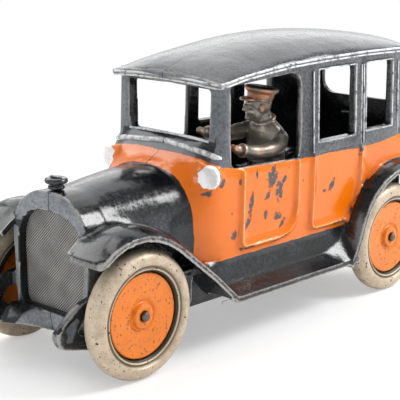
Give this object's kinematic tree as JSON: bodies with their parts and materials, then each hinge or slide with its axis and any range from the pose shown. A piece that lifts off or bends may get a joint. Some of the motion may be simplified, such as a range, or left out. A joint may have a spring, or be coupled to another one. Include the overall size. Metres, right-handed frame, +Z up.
{
  "type": "cast iron toy taxi",
  "caption": "Toy cab cast in two halves with open windows, a seated driver, radiator and lamps, rolling on separate disc wheels and through axles.",
  "frame": {"origin": "middle of the footprint, on the ground the tyres stand on", "axes": "+Z up, -Y towards the front of the cab, +X towards the cab's own left side"},
  "size_m": [0.0808, 0.2274, 0.1201],
  "materials": {
    "black_enamel": "gloss",
    "orange_enamel": "gloss",
    "tyre_paint": "satin",
    "radiator_mesh": "satin",
    "driver_bronze": "satin",
    "bare_steel": "satin"
  },
  "bodies": {
    "body": {"body_left": "black_enamel", "body_right": "black_enamel", "radiator_core": "radiator_mesh", "radiator_cap": "black_enamel", "driver": "driver_bronze", "hood_rivet": "bare_steel", "valance_rivet": "bare_steel", "tail_high_rivet": "bare_steel", "tail_low_rivet": "bare_steel", "driver_rivet": "bare_steel"},
    "front_axle": {"front_axle": "bare_steel"},
    "rear_axle": {"rear_axle": "bare_steel"},
    "wheel_front_left": {"tyre_front_left": "tyre_paint", "disc_front_left": "orange_enamel"},
    "wheel_front_right": {"tyre_front_right": "tyre_paint", "disc_front_right": "orange_enamel"},
    "wheel_rear_left": {"tyre_rear_left": "tyre_paint", "disc_rear_left": "orange_enamel"},
    "wheel_rear_right": {"tyre_rear_right": "tyre_paint", "disc_rear_right": "orange_enamel"}
  },
  "joints": [
    {"name": "front_axle_spin", "type": "hinge", "parent": "body", "child": "front_axle", "pos_m": [0, -0.0817, 0.025], "axis": [1, 0, 0], "continuous": true},
    {"name": "rear_axle_spin", "type": "hinge", "parent": "body", "child": "rear_axle", "pos_m": [0, 0.0765, 0.025], "axis": [1, 0, 0], "continuous": true},
    {"name": "wheel_front_left_spin", "type": "hinge", "parent": "front_axle", "child": "wheel_front_left", "pos_m": [0.0339, -0.0817, 0.025], "axis": [1, 0, 0], "continuous": true},
    {"name": "wheel_front_right_spin", "type": "hinge", "parent": "front_axle", "child": "wheel_front_right", "pos_m": [-0.0339, -0.0817, 0.025], "axis": [1, 0, 0], "continuous": true},
    {"name": "wheel_rear_left_spin", "type": "hinge", "parent": "rear_axle", "child": "wheel_rear_left", "pos_m": [0.0339, 0.0765, 0.025], "axis": [1, 0, 0], "continuous": true},
    {"name": "wheel_rear_right_spin", "type": "hinge", "parent": "rear_axle", "child": "wheel_rear_right", "pos_m": [-0.0339, 0.0765, 0.025], "axis": [1, 0, 0], "continuous": true}
  ]
}
